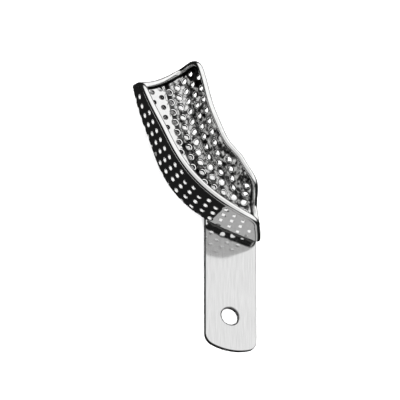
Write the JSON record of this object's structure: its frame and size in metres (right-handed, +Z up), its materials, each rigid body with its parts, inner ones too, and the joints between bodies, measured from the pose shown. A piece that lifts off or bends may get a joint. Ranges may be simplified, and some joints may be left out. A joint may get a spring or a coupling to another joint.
{
  "type": "impression tray",
  "caption": "Partial dental impression tray: a perforated curved steel trough with a wired rim, on a flat finger handle with a hanging hole.",
  "frame": {"origin": "bottom centre of the tray's bounding box, in the plane of the handle's underside", "axes": "+Y along the handle from its free end towards the trough, +Z up out of the trough's mouth, +X across the handle"},
  "size_m": [0.043, 0.0926, 0.0182],
  "materials": {
    "pan_steel": "polished stainless steel sheet",
    "wire_steel": "polished stainless steel wire",
    "handle_steel": "satin stainless steel strip, brushed along its length",
    "braze_metal": "dull silver braze"
  },
  "bodies": {
    "root": {"perforated_pan": "pan_steel", "rim_wire": "wire_steel", "handle_strip": "handle_steel", "front_braze": "braze_metal", "rear_braze": "braze_metal"}
  },
  "joints": []
}
